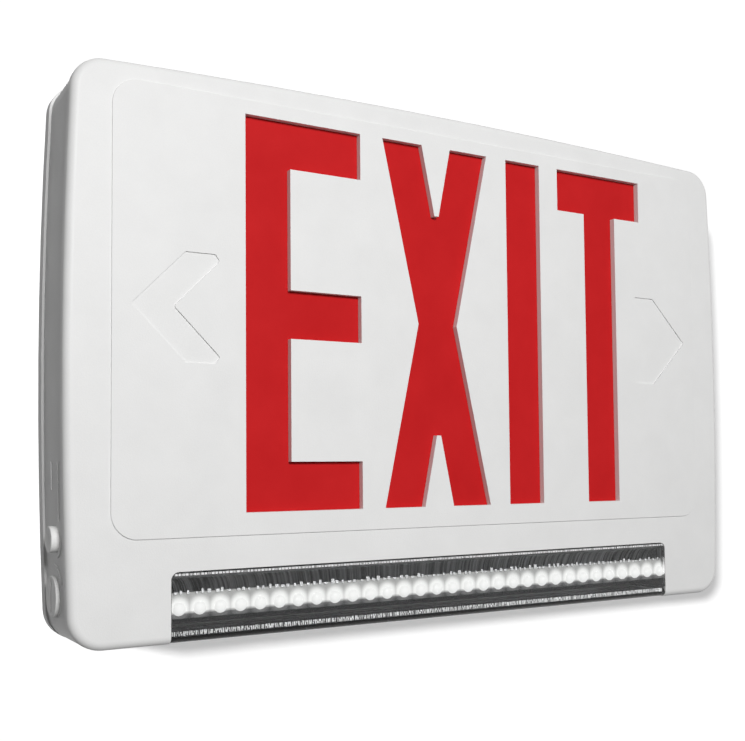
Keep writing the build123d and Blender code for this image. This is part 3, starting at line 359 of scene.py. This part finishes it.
lamps = {"radius": 0.0025, "height": 0.002, "pitch": 0.00812, "around": 20, "rings": 10,
         "sag": 0.0012,  # the lit row stands this much below the middle of the solid lamps
         "core": 0.0012, "reach": 0.0036, "light": (1.0, 1.0, 0.99), "rim": (0.96, 0.96, 0.95),
         "milk": (0.32, 0.32, 0.315), "milkRim": (0.28, 0.28, 0.275),
         "glow": 0.64, "roughness": 0.45, "specular": 0.1}
lampLow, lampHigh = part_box("light_leds")
boardLow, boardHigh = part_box("light_board")
lampLine = (lampLow.z + lampHigh.z) / 2 - lamps["sag"]
firstLamp = lampLow.x + lamps["radius"]
lampCount = round((lampHigh.x - lampLow.x - 2 * lamps["radius"]) / lamps["pitch"]) + 1


def glowAround(tree, core, reach):
    return placeGroup(tree, lampGlow, {"First Lamp": firstLamp, "Pitch": lamps["pitch"],
                                       "Line": lampLine, "Core": core, "Reach": reach})["Glow"]


def lampWhite():
    # milky dome over the chip, brightest in its middle
    material, tree, shader = newMaterial("lampWhite")
    glow = glowAround(tree, lamps["core"], lamps["reach"])
    tree.links.new(mixColours(tree, glow, lamps["rim"], lamps["light"]),
                   shader.inputs["Emission Color"])
    paint(tree, shader, glow, lamps["milkRim"], lamps["milk"])
    shader.inputs["Emission Strength"].default_value = lamps["glow"]
    shader.inputs["Roughness"].default_value = lamps["roughness"]
    shader.inputs["Specular IOR Level"].default_value = lamps["specular"]
    return material


# the two levels of the painted shade are measured from the row of lamps, and "low" is the share
# of painted glow that stays over that shade
board = {"mask": (0.40, 0.40, 0.395), "maskHigh": (0.45, 0.45, 0.44),
         "shadeBelow": (0.03, 0.03, 0.032), "shadeTop": -0.0008, "shadeEnd": -0.0020, "low": 0.22,
         "core": 0.0028, "reach": 0.0056, "glow": 0.50, "grain": 1500, "mottle": 200,
         "roughness": (0.35, 0.5), "bump": 0.1, "depth": 0.0001, "specular": 0.1}


def stripWhite():
    # solder mask with painted glow from the lamps that stand on it, and painted shade below them
    material, tree, shader = newMaterial("stripWhite")
    grain = placeGroup(tree, mouldGrain, {"Scale": board["grain"],
                                          "Mottle Scale": board["mottle"]})
    # painted shade below the lamp row, solder mask colour above it
    aboveShade = ramp(tree, splitPoint(tree, objectPoint(tree))["Z"],
                  lampLine + board["shadeEnd"], lampLine + board["shadeTop"])
    paint(tree, shader, aboveShade, board["shadeBelow"],
          mixColours(tree, grain["Tone"], board["mask"], board["maskHigh"]))
    polish(tree, shader, grain["Tone"], board["roughness"])
    bumped(tree, shader, grain["Height"], board["bump"], board["depth"])
    # painted glow around each lamp, weaker over the painted shade
    shown = ramp(tree, aboveShade, 0, 1, board["low"], 1.0)
    glow = maths(tree, "MULTIPLY", glowAround(tree, board["core"], board["reach"]), shown)
    tree.links.new(mixColours(tree, glow, (0.0, 0.0, 0.0), lamps["light"]),
                   shader.inputs["Emission Color"])
    shader.inputs["Emission Strength"].default_value = board["glow"]
    shader.inputs["Specular IOR Level"].default_value = board["specular"]
    return material


# the wall and the edge rise are measured from the lens's lowest point
lens = {"clear": (0.97, 0.98, 0.98), "shadedWall": (0.004, 0.004, 0.005), "wall": 0.0023,
        "edge": (0.10, 0.10, 0.105), "edgeRise": 0.0013, "blend": 0.0002,
        "grain": 300, "mottle": 40, "roughness": (0.02, 0.05), "shine": (0.35, 0.35, 0.35),
        "ior": 1.58}
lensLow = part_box("light_lens")[0]


def lensClear():
    # clear front over a lower wall painted near black as shade, with a painted dark grey strip
    # along its bottom edge;
    # shadow and diffuse rays pass the clear front straight, so that the inside is lit once
    material, tree, shader = newMaterial("lensClear")
    grain = placeGroup(tree, mouldGrain, {"Scale": lens["grain"],
                                          "Mottle Scale": lens["mottle"]})
    polish(tree, shader, grain["Tone"], lens["roughness"])
    height = splitPoint(tree, objectPoint(tree))["Z"]
    # a lower wall painted near black as shade, with a painted dark grey strip along its bottom
    # edge
    wallTop, edgeTop = lensLow.z + lens["wall"], lensLow.z + lens["edgeRise"]
    above = ramp(tree, height, wallTop, wallTop + lens["blend"])
    wall = mixColours(tree, ramp(tree, height, edgeTop, edgeTop + lens["blend"]),
                      lens["edge"], lens["shadedWall"])
    paint(tree, shader, above, wall, lens["clear"])
    shader.inputs["Specular Tint"].default_value = (*lens["shine"], 1)
    shader.inputs["Transmission Weight"].default_value = 1.0
    shader.inputs["IOR"].default_value = lens["ior"]
    clear = place(tree, "ShaderNodeBsdfTransparent")
    path = place(tree, "ShaderNodeLightPath").outputs
    pick = place(tree, "ShaderNodeMixShader")
    rays = maths(tree, "MAXIMUM", path["Is Shadow Ray"], path["Is Diffuse Ray"])
    tree.links.new(maths(tree, "MULTIPLY", above, rays), pick.inputs[0])
    tree.links.new(shader.outputs[0], pick.inputs[1])
    tree.links.new(clear.outputs[0], pick.inputs[2])
    tree.links.new(pick.outputs[0], tree.nodes["Material Output"].inputs["Surface"])
    return material


prisms = {"dim": (0.30, 0.30, 0.305), "bright": (0.97, 0.97, 0.97), "dimAt": 0.38,
          "brightAt": 0.52, "stretch": (6, 1, 1), "scale": 140, "roughness": (0.45, 0.3)}


def prismBright():
    # prisms on the lens, painted as bright and dim patches of the light they turn towards the
    # front
    material, tree, shader = newMaterial("prismBright")
    patches = placeGroup(tree, streaks, {"Stretch": prisms["stretch"],
                                         "Scale": prisms["scale"]})
    # painted refracted light: bright and dim patches in the colour
    tone = ramp(tree, patches["Height"], prisms["dimAt"], prisms["brightAt"])
    paint(tree, shader, tone, prisms["dim"], prisms["bright"])
    polish(tree, shader, tone, prisms["roughness"])
    return material


sleeve = {"low": (0.012, 0.05, 0.17), "high": (0.025, 0.09, 0.26), "roughness": (0.18, 0.3),
          "stretch": (1.2, 1.2, 0.3), "scale": 260, "bump": 0.2, "depth": 0.0002, "coat": 0.3}


def batterySleeve():
    # shrink sleeve, drawn tight with fine creases across the cells
    material, tree, shader = newMaterial("batterySleeve")
    creases = placeGroup(tree, streaks, {"Stretch": sleeve["stretch"],
                                         "Scale": sleeve["scale"]})
    paint(tree, shader, creases["Tone"], sleeve["low"], sleeve["high"])
    polish(tree, shader, creases["Tone"], sleeve["roughness"])
    bumped(tree, shader, creases["Height"], sleeve["bump"], sleeve["depth"])
    shader.inputs["Coat Weight"].default_value = sleeve["coat"]
    return material


laminations = {"low": (0.03, 0.03, 0.032), "high": (0.10, 0.10, 0.105),
               "roughness": (0.45, 0.3), "metallic": 0.6, "sheets": 320.0, "unevenness": 0.6,
               "detail": 2.0, "bump": 0.4, "depth": 0.0002}


def coreDark():
    # stacked laminations: fine lines front to back under dark varnish
    material, tree, shader = newMaterial("coreDark")
    sheets = place(tree, "ShaderNodeTexWave",
                   {"Scale": laminations["sheets"], "Distortion": laminations["unevenness"],
                    "Detail": laminations["detail"]}, bands_direction="Y")
    tree.links.new(objectPoint(tree), sheets.inputs["Vector"])
    lines = sheets.outputs["Fac"]
    paint(tree, shader, lines, laminations["low"], laminations["high"])
    polish(tree, shader, lines, laminations["roughness"])
    bumped(tree, shader, lines, laminations["bump"], laminations["depth"])
    shader.inputs["Metallic"].default_value = laminations["metallic"]
    return material


circuit = {"mask": (0.010, 0.13, 0.055), "copper": (0.03, 0.24, 0.09), "islands": 170.0,
           "islandEdge": (0.08, 0.03), "tracks": 60.0, "trackWidth": 0.03, "trackBias": 0.1,
           "turn": 90, "roughness": (0.28, 0.2), "bump": 0.3, "depth": 0.00005}


def circuitGreen():
    # solder mask over copper tracks that step between rows and columns
    material, tree, shader = newMaterial("circuitGreen")
    point = objectPoint(tree)
    islands = place(tree, "ShaderNodeTexVoronoi", {"Scale": circuit["islands"]},
                    feature="DISTANCE_TO_EDGE", distance="EUCLIDEAN")
    tree.links.new(point, islands.inputs["Vector"])
    turned = place(tree, "ShaderNodeMapping",
                   {"Rotation": (math.radians(circuit["turn"]), 0, 0)})
    tree.links.new(point, turned.inputs["Vector"])
    steps = place(tree, "ShaderNodeTexBrick",
                  {"Scale": circuit["tracks"], "Mortar Size": circuit["trackWidth"],
                   "Bias": circuit["trackBias"]})
    tree.links.new(turned.outputs[0], steps.inputs["Vector"])
    edges = ramp(tree, islands.outputs["Distance"], *circuit["islandEdge"])
    track = maths(tree, "MAXIMUM", edges, steps.outputs["Fac"])
    paint(tree, shader, track, circuit["mask"], circuit["copper"])
    polish(tree, shader, track, circuit["roughness"])
    bumped(tree, shader, track, circuit["bump"], circuit["depth"])
    return material


finishes = {
    "cover_white": mouldedPlastic("coverWhite"),
    "frame_white": mouldedPlastic("frameWhite"),
    "legend_red": mouldedPlastic("legendRed"),
    "pan_white": mouldedPlastic("panWhite"),
    "lens_clear": lensClear(),
    "mirror_bright": mirrorBright(),
    "strip_white": stripWhite(),
    "lamp_white": lampWhite(),
    "aluminium_bare": drawnMetal("aluminiumBare"),
    "button_white": mouldedPlastic("buttonWhite"),
    "switch_black": mouldedPlastic("switchBlack"),
    "plunger_white": mouldedPlastic("plungerWhite"),
    "lock_white": mouldedPlastic("lockWhite"),
    "steel_plated": drawnMetal("steelPlated"),
    "screw_plated": drawnMetal("screwPlated"),
    "battery_sleeve": batterySleeve(),
    "core_dark": coreDark(),
    "coil_tape": mouldedPlastic("coilTape"),
    "circuit_green": circuitGreen(),
    "capacitor_black": mouldedPlastic("capacitorBlack"),
    "terminal_cream": mouldedPlastic("terminalCream"),
}
for part in frame["record"]["subparts"]:
    holder = frame["nodes"][part["node"]]
    if not holder.material_slots:
        holder.data.materials.append(None)
    for slot in holder.material_slots:
        slot.material = finishes[part["material_slot"]]


# Pieces

def addObject(name, data):
    made = bpy.data.objects.new(name, data)
    bpy.context.scene.collection.objects.link(made)
    return made


def addMesh(name, mesh, material):
    # a finished bmesh becomes an object at the origin
    data = bpy.data.meshes.new(name)
    mesh.to_mesh(data)
    mesh.free()
    data.materials.append(material)
    return addObject(name, data)


def settle(mesh, name, slot, material=None, body="housing"):
    # a piece of the sign that rides on a body
    bmesh.ops.recalc_face_normals(mesh, faces=mesh.faces)
    made = addMesh(name, mesh, material or finishes[slot])
    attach(made, body)
    return made


def makeLampDomes():
    # flattened balls, cut off level with the lamps' back
    mesh = bmesh.new()
    upright = Matrix.Rotation(math.radians(90), 3, "X")
    for index in range(lampCount):
        verts = bmesh.ops.create_uvsphere(mesh, u_segments=lamps["around"],
                                          v_segments=lamps["rings"],
                                          radius=lamps["radius"])["verts"]
        bmesh.ops.rotate(mesh, verts=verts, cent=(0, 0, 0), matrix=upright)
        bmesh.ops.scale(mesh, vec=(1, lamps["height"] / lamps["radius"], 1), verts=verts)
        bmesh.ops.translate(
            mesh, vec=(firstLamp + index * lamps["pitch"], lampHigh.y, lampLine), verts=verts)
    cut = bmesh.ops.bisect_plane(mesh, geom=mesh.verts[:] + mesh.edges[:] + mesh.faces[:],
                                 plane_co=(0, lampHigh.y, 0), plane_no=(0, 1, 0),
                                 clear_outer=True)
    edges = [item for item in cut["geom_cut"] if isinstance(item, bmesh.types.BMEdge)]
    bmesh.ops.edgeloop_fill(mesh, edges=edges)
    for face in mesh.faces:
        face.smooth = len(face.verts) < 5  # all but the flat backs
    domes = settle(mesh, "lamp_domes", "lamp_white")
    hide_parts("light_leds")


chips = {"size": (0.0012, 0.0006, 0.0016), "root": 0.0006, "bevel": 0.25, "seed": 7,
         "places": (-0.0013, 0.0010, 0.0038), "spread": 0.0005,  # from each lamp
         "wide": (0.7, 1.3), "tall": (0.5, 1.25)}  # shares of the size, between these


def makeBoardChips():
    # small soldered tabs that stand above the board's upper edge, a few for each lamp
    random.seed(chips["seed"])
    mesh = bmesh.new()
    width, deep, height = chips["size"]
    foot = boardHigh.z - chips["root"]
    for index in range(lampCount):
        for offset in chips["places"]:
            shift = offset + random.uniform(-1, 1) * chips["spread"]
            tall = height * random.uniform(*chips["tall"])
            wide = width * random.uniform(*chips["wide"])
            verts = bmesh.ops.create_cube(mesh, size=1)["verts"]
            bmesh.ops.scale(mesh, vec=(wide, deep, tall), verts=verts)
            bmesh.ops.translate(mesh, vec=(firstLamp + index * lamps["pitch"] + shift,
                                           boardLow.y - deep / 2, foot + tall / 2),
                                verts=verts)
    bmesh.ops.bevel(mesh, geom=mesh.edges[:], offset=deep * chips["bevel"], segments=2,
                    affect="EDGES", profile=0.5, material=-1)
    settle(mesh, "light_board_chips", "screw_plated")


# rows are heights in the frame, back is measured from the lens's face, and jitter is a share
ribs = {
    "upper": {"pitch": 0.00143, "width": 0.0011, "height": 0.0008, "rows": (-0.0820,),
              "end": 0.1235, "jitter": 0.0, "back": -0.00008, "deep": 0.00016, "sides": 4,
              "seed": 3},
    "lower": {"pitch": 0.00082, "width": 0.00055, "height": 0.0007, "rows": (-0.1031, -0.1038),
              "end": 0.1235, "jitter": 0.3, "back": 0.0027, "deep": 0.0008, "sides": 4,
              "seed": 3},
}


def makeRibs(name):
    # small upright prisms: one row on the lens's face along its upper edge, two behind the face
    row = ribs[name]
    random.seed(row["seed"])
    mesh = bmesh.new()
    y = lensLow.y + row["back"]
    count = int(2 * row["end"] / row["pitch"])
    for z in row["rows"]:
        for index in range(count):
            nudge = random.uniform(-1, 1) * row["jitter"]
            x = row["pitch"] * (index - (count - 1) / 2 + nudge)
            tall = row["height"] * (1 + random.uniform(-1, 1) * row["jitter"])
            verts = bmesh.ops.create_cone(mesh, cap_ends=True, segments=row["sides"],
                                          radius1=row["width"] / 2, radius2=row["width"] / 2,
                                          depth=tall)["verts"]
            bmesh.ops.scale(mesh, vec=(1, row["deep"] / row["width"], 1), verts=verts)
            bmesh.ops.translate(mesh, vec=(x, y, z), verts=verts)
    # the prisms take the painted refracted light, not the clear lens
    settle(mesh, "light_lens_ribs_" + name, "lens_clear", material=prismFinish)


prismFinish = prismBright()
makeLampDomes()
makeBoardChips()
for side in ribs:
    makeRibs(side)
print("Light bar pieces:", lampCount, "lamps")


# Camera, from the photograph's fitted view

view = {"focal": 51.132, "sensor": 36.0, "shiftX": -0.00535, "shiftY": 0.05696,
        "clip": (0.01, 50.0), "yaw": 31.028, "pitch": 2.946, "roll": -0.502,
        "place": (-0.258434, -0.406714, -0.043690)}


def makeCamera():
    data = bpy.data.cameras.new("camera")
    data.lens, data.sensor_width = view["focal"], view["sensor"]
    data.shift_x, data.shift_y = view["shiftX"], view["shiftY"]
    data.clip_start, data.clip_end = view["clip"]
    camera = addObject("camera", data)
    turn = (Matrix.Rotation(-math.radians(view["yaw"]), 4, "Z")
            @ Matrix.Rotation(math.radians(90 + view["pitch"]), 4, "X")
            @ Matrix.Rotation(math.radians(view["roll"]), 4, "Z"))
    camera.matrix_world = Matrix.Translation(Vector(view["place"])) @ turn
    bpy.context.scene.camera = camera


# Stage and lamps

# lift is the paper's own light, on the wall and on the floor
stage = {"wallGap": 0.0015, "wallHalf": 2.5, "floorDrop": 0.8, "colour": (0.90, 0.90, 0.90),
         "lift": 0.40, "floorLift": 0.82, "ambient": 0.13}
studio = [
    {"name": "keyLamp", "place": (-0.19, -1.08, 0.33), "size": 0.25, "watts": 10.5},
    {"name": "backLamp", "place": (0.5, 1.5, 0.7), "size": 0.9, "watts": 20.0},
]
wallLamp = {"slope": (1.2, 1.0, -0.29), "strength": 2.9, "angle": 5}


def stagePaper():
    # seen by the camera alone and from its front; every other ray goes through it
    made = bpy.data.materials.new("stagePaper")
    made.use_nodes = True
    tree = made.node_tree
    tree.nodes.remove(tree.nodes["Principled BSDF"])
    paper = place(tree, "ShaderNodeBsdfDiffuse", {"Color": (*stage["colour"], 1)})
    face = place(tree, "ShaderNodeNewGeometry").outputs
    lift = place(tree, "ShaderNodeEmission")
    level = ramp(tree, splitPoint(tree, face["Normal"])["Z"], 0, 1,
                 stage["lift"], stage["floorLift"])
    tree.links.new(level, lift.inputs["Strength"])
    lit = place(tree, "ShaderNodeAddShader")
    tree.links.new(paper.outputs[0], lit.inputs[0])
    tree.links.new(lift.outputs[0], lit.inputs[1])
    clear = place(tree, "ShaderNodeBsdfTransparent")
    path = place(tree, "ShaderNodeLightPath").outputs
    shown = maths(tree, "MULTIPLY", path["Is Camera Ray"],
                  maths(tree, "SUBTRACT", 1.0, face["Backfacing"]))
    pick = place(tree, "ShaderNodeMixShader")
    tree.links.new(shown, pick.inputs[0])
    tree.links.new(clear.outputs[0], pick.inputs[1])
    tree.links.new(lit.outputs[0], pick.inputs[2])
    tree.links.new(pick.outputs[0], tree.nodes["Material Output"].inputs["Surface"])
    return made


def makeStage():
    # one sheet: the wall behind the sign, running down and forward into the floor
    mesh = bmesh.new()
    half = stage["wallHalf"]
    wallY, floorZ = cadHigh.y + stage["wallGap"], cadLow.z - stage["floorDrop"]
    edge = mesh.edges.new([mesh.verts.new((x, wallY, half)) for x in (-half, half)])
    for step in ((0, 0, floorZ - half), (0, -2 * half, 0)):
        made = bmesh.ops.extrude_edge_only(mesh, edges=[edge])["geom"]
        verts = [item for item in made if isinstance(item, bmesh.types.BMVert)]
        bmesh.ops.translate(mesh, vec=step, verts=verts)
        edge = next(item for item in made if isinstance(item, bmesh.types.BMEdge)
                    and all(vert in verts for vert in item.verts))
    for face in mesh.faces:
        face.normal_update()
        if face.normal.dot(Vector((0, -1, 1))) < 0:
            face.normal_flip()
    sheet = addMesh("stageSheet", mesh, stagePaper())
    return sheet


def linkLight(lamp, sheet, state):
    # the stage sheet is the one thing that a lamp lights, or the one thing that it leaves out
    chosen = bpy.data.collections.new(lamp.name + "Linked")
    chosen.objects.link(sheet)
    chosen.collection_objects[0].light_linking.link_state = state
    lamp.light_linking.receiver_collection = chosen


def makeStudio(sheet):
    target = (cadLow + cadHigh) / 2
    for lamp in studio:
        data = bpy.data.lights.new(lamp["name"], "AREA")
        data.size, data.energy = lamp["size"], lamp["watts"]
        made = addObject(lamp["name"], data)
        made.location = lamp["place"]
        made.rotation_euler = (target - made.location).to_track_quat("-Z", "Y").to_euler()
        made.visible_camera = False
        linkLight(made, sheet, "EXCLUDE")
    data = bpy.data.lights.new("wallLamp", "SUN")
    data.energy, data.angle = wallLamp["strength"], math.radians(wallLamp["angle"])
    made = addObject("wallLamp", data)
    made.rotation_euler = Vector(wallLamp["slope"]).to_track_quat("-Z", "Y").to_euler()
    linkLight(made, sheet, "INCLUDE")


def makeWorld():
    # white to the camera and in reflections and glass, and dim where it lights the object
    world = bpy.data.worlds.new("studioWorld")
    bpy.context.scene.world = world
    world.use_nodes = True
    tree = world.node_tree
    sky = tree.nodes["Background"]
    sky.inputs["Color"].default_value = (1, 1, 1, 1)
    path = place(tree, "ShaderNodeLightPath").outputs
    mirrored = maths(tree, "MAXIMUM", path["Is Glossy Ray"], path["Is Transmission Ray"])
    seen = maths(tree, "MAXIMUM", path["Is Camera Ray"], mirrored)
    unlit = maths(tree, "LESS_THAN", path["Diffuse Depth"], 0.5)  # no diffuse bounce so far
    sight = maths(tree, "MULTIPLY", seen, unlit)
    tree.links.new(ramp(tree, sight, 0, 1, stage["ambient"], 1.0), sky.inputs["Strength"])


makeCamera()
makeStudio(makeStage())
makeWorld()
bpy.context.scene.view_settings.view_transform = "Standard"
print("Camera, stage and lamps placed")
